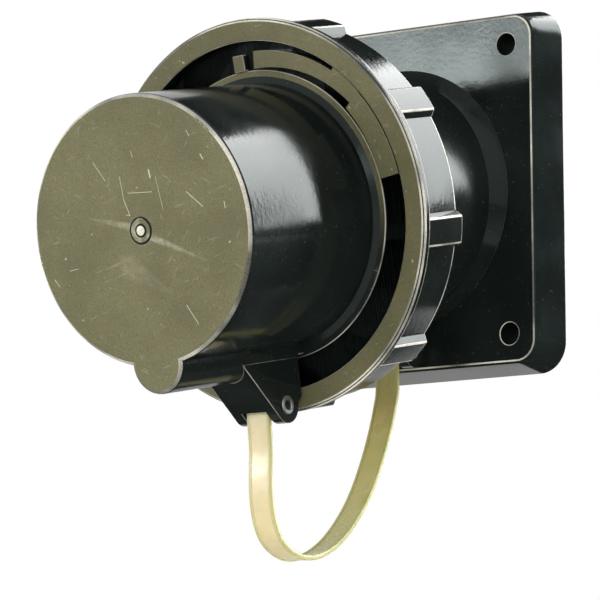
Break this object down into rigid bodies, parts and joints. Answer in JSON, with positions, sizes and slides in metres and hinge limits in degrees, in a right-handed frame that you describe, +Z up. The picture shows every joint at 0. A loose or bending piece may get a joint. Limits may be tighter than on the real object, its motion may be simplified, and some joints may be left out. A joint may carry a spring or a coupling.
{
  "type": "appliance inlet",
  "caption": "Sloping panel appliance inlet with a square drafted flange, round pins in a shroud, a ribbed bayonet coupling ring and a deep protective cap on a flat strap.",
  "frame": {"origin": "centre of the flange's screw pattern, on the panel face", "axes": "+Z up, +Y into the panel, the inlet points to -Y and leans 10 degrees down"},
  "size_m": [0.113, 0.1411, 0.1627],
  "materials": {
    "black_plastic": "moulded, half gloss",
    "ring_plastic": "moulded, dull olive sheen on the front face",
    "cap_plastic": "moulded, dull olive sheen on the front face, scratched",
    "carrier_plastic": "moulded, dull",
    "contact_brass": "nickel plated",
    "steel": "zinc plated",
    "black_rubber": "dull",
    "strap_plastic": "translucent, yellowed"
  },
  "bodies": {
    "inlet": {"flange_housing": "black_plastic", "housing_neck": "black_plastic", "flange_gasket": "black_rubber", "pin_shroud": "black_plastic", "shroud_seal": "black_rubber", "shroud_screws": "steel", "contact_carrier": "carrier_plastic", "phase_pin_1": "contact_brass", "phase_pin_2": "contact_brass", "phase_pin_3": "contact_brass", "neutral_pin": "contact_brass", "earth_pin": "contact_brass", "pilot_pin": "contact_brass", "terminal_screws": "steel", "ring_retainer": "steel", "strap_anchor_pin": "steel", "strap": "strap_plastic"},
    "ring": {"coupling_ring": "ring_plastic", "ring_claws": "ring_plastic"},
    "cap": {"cap": "cap_plastic", "cap_skirt": "cap_plastic", "cap_lugs": "cap_plastic", "cap_tab": "cap_plastic", "cap_seal": "black_rubber", "strap_pin": "steel"}
  },
  "joints": [
    {"name": "ring_turn", "type": "hinge", "parent": "inlet", "child": "ring", "pos_m": [0, -0.0125, 0], "axis": [0, 0.9848, 0.1736], "range_deg": [0, 88]},
    {"name": "cap_pull", "type": "slide", "parent": "inlet", "child": "cap", "axis": [0, -0.9848, -0.1736], "range_m": [0, 0.063], "deforming": ["strap"]}
  ]
}
